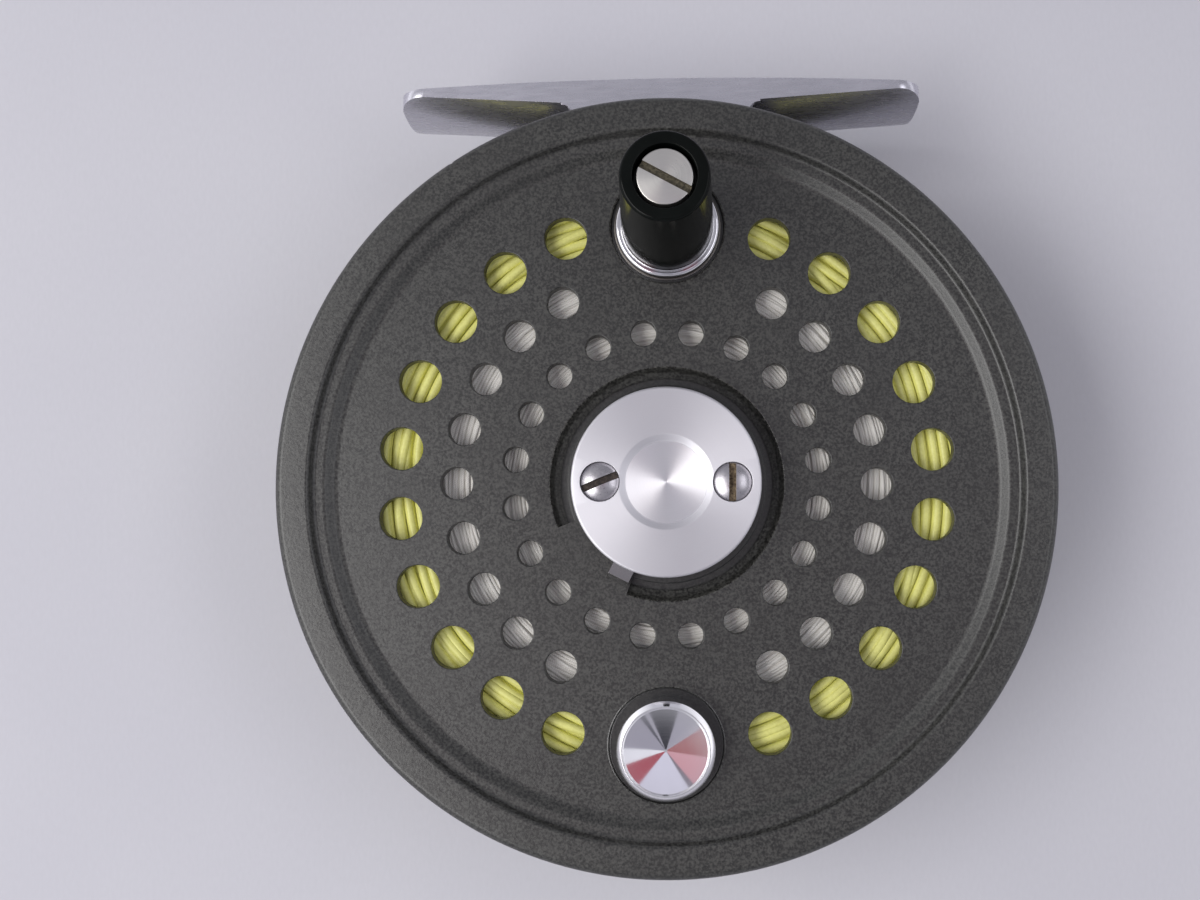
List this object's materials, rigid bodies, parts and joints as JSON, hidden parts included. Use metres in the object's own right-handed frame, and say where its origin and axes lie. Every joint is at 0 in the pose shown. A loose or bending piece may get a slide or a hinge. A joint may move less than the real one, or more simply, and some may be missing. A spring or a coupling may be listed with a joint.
{
  "type": "fly reel",
  "caption": "Fly fishing reel: perforated exposed-rim spool with handle and counterweight on a caged frame with reel foot, latch release and regulated click-and-pawl check.",
  "frame": {"origin": "on the spindle axis, in the plane of the frame's rear rim, on which the reel lies", "axes": "+Z along the spindle, out of the spool's face; +Y towards the reel foot; +X along the foot"},
  "size_m": [0.0914, 0.0961, 0.0475],
  "materials": {
    "grey_enamel": "satin",
    "satin_aluminium": "satin",
    "turned_aluminium": "satin",
    "polished_steel": "polished",
    "turned_steel": "satin",
    "bright_steel": "satin",
    "screw_steel": "satin",
    "spring_steel": "satin",
    "brass": "satin",
    "black_grip": "gloss",
    "white_backing": "matte",
    "yellow_line": "satin"
  },
  "bodies": {
    "frame": {"back_plate": "grey_enamel", "front_ring": "grey_enamel", "pillars": "grey_enamel", "foot_bridge": "grey_enamel", "rear_frame_screws": "screw_steel", "front_frame_screws": "screw_steel", "foot": "satin_aluminium", "foot_screws": "screw_steel", "spindle": "bright_steel", "spindle_washer": "screw_steel", "spindle_nut": "screw_steel", "pawl_studs": "bright_steel", "pawl_clips": "spring_steel", "check_spring": "spring_steel", "spring_block": "brass", "spring_block_screws": "screw_steel", "slide_posts": "bright_steel", "click_washer": "brass"},
    "regulator": {"regulator_knob": "satin_aluminium", "regulator_cam": "brass", "regulator_screw": "screw_steel"},
    "tension_slide": {"tension_slide": "bright_steel"},
    "active_pawl": {"active_pawl": "bright_steel"},
    "spare_pawl": {"spare_pawl": "bright_steel"},
    "bush": {"spool_bush": "brass"},
    "spool": {"spool_face": "grey_enamel", "spool_arbor": "grey_enamel", "spool_rear_flange": "grey_enamel", "ratchet_gear": "brass", "gear_screws": "screw_steel", "backing": "white_backing", "fly_line": "yellow_line", "latch_pin": "bright_steel", "latch_spring": "spring_steel", "hub_cover": "turned_aluminium", "cover_screws": "polished_steel", "handle_plate": "turned_aluminium", "handle_washer": "bright_steel", "handle_spindle": "bright_steel", "handle_screw": "turned_steel", "counterweight": "polished_steel"},
    "latch": {"latch_lever": "bright_steel"},
    "handle": {"handle_grip": "black_grip", "grip_bush": "brass"}
  },
  "joints": [
    {"name": "spool_release", "type": "slide", "parent": "frame", "child": "bush", "axis": [0, 0, 1], "range_m": [0, 0.034]},
    {"name": "spool_turn", "type": "hinge", "parent": "bush", "child": "spool", "pos_m": [0, 0, 0.0175], "axis": [0, 0, 1], "continuous": true},
    {"name": "handle_turn", "type": "hinge", "parent": "spool", "child": "handle", "pos_m": [0.00059, 0.03049, 0.038], "axis": [0, 0, 1], "continuous": true},
    {"name": "latch_press", "type": "hinge", "parent": "spool", "child": "latch", "pos_m": [0.00541, 0.0055, 0.02885], "axis": [0, 0, -1], "range_deg": [0, 8], "stiffness_Nm_per_rad": 0.03, "springref_deg": -11.46},
    {"name": "regulator_turn", "type": "hinge", "parent": "frame", "child": "regulator", "pos_m": [0.0085, -0.029, 0.0035], "axis": [0, 0, 1], "range_deg": [0, 270]},
    {"name": "tension_slide_move", "type": "slide", "parent": "frame", "child": "tension_slide", "axis": [-1, 0, 0], "range_m": [0, 0.0032]},
    {"name": "pawl_rock", "type": "hinge", "parent": "frame", "child": "active_pawl", "pos_m": [0, -0.0152, 0.0063], "axis": [0, 0, 1], "range_deg": [-2.5, 2.5], "stiffness_Nm_per_rad": 0.02},
    {"name": "spare_pawl_turn", "type": "hinge", "parent": "frame", "child": "spare_pawl", "pos_m": [-0.01428, -0.0052, 0.0063], "axis": [0, 0, 1], "range_deg": [-60, 60]}
  ],
  "couplings": [
    {"joint": "tension_slide_move", "follows": "regulator_turn", "m_per_rad": 0.000679}
  ]
}
